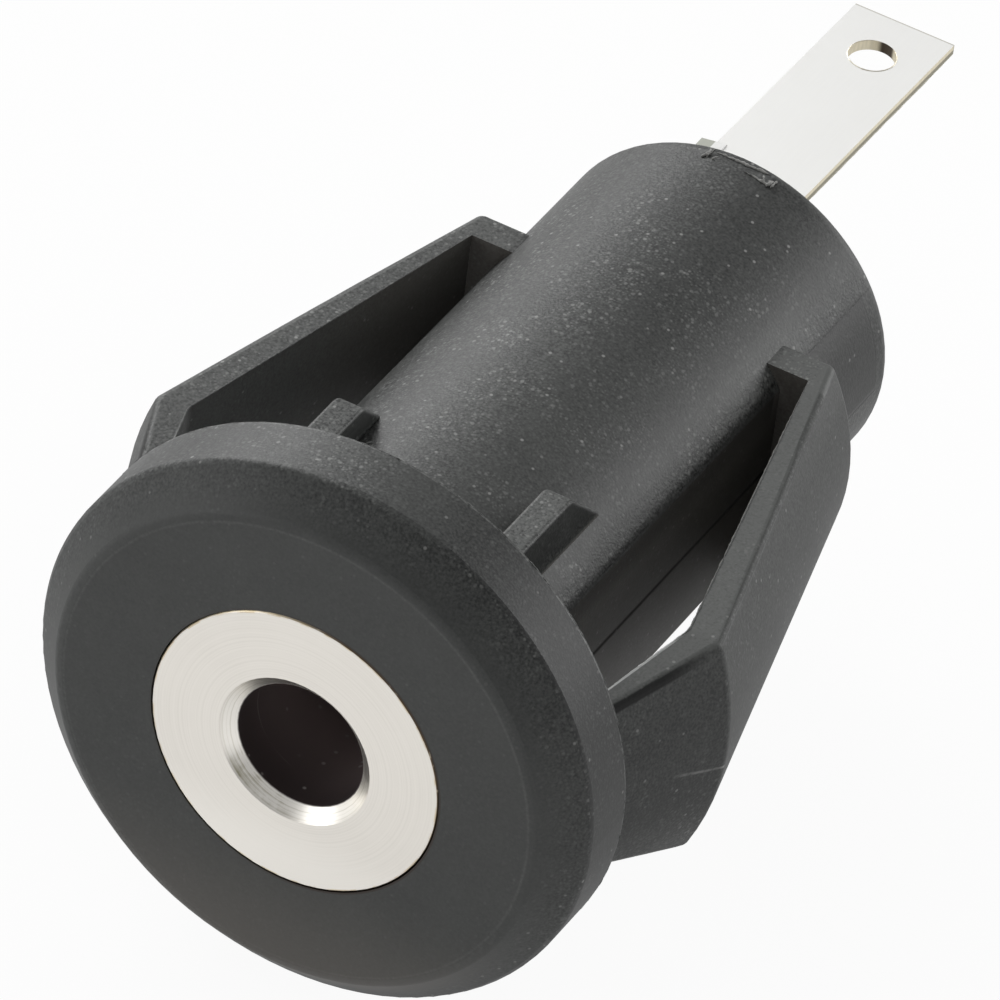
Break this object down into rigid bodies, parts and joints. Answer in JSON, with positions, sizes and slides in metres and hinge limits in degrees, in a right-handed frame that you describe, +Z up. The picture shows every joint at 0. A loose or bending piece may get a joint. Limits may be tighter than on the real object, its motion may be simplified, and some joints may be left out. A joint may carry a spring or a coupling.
{
  "type": "mono jack socket",
  "caption": "Round snap-in panel socket for a single-pole plug, with a wide flange, a tube with two sprung latch wings, a turned metal contact and a flat solder tag at the rear.",
  "frame": {"origin": "on the plug's axis, in the plane of the flange's back that seats against the panel", "axes": "-Y points out of the plug's mouth at the front, +Y towards the solder tag at the rear, +Z up to the side on which the solder tag lies, +X to the right seen from the front"},
  "size_m": [0.0196, 0.0348, 0.0176],
  "materials": {
    "black_moulding": "black moulded plastic with a fine matt grain",
    "nickel_plated_brass": "turned brass with a satin nickel plating",
    "tinned_brass": "tin-plated brass strip with bare sheared edges"
  },
  "bodies": {
    "root": {"housing": "black_moulding", "contact_sleeve": "nickel_plated_brass", "solder_tag": "tinned_brass"}
  },
  "joints": []
}
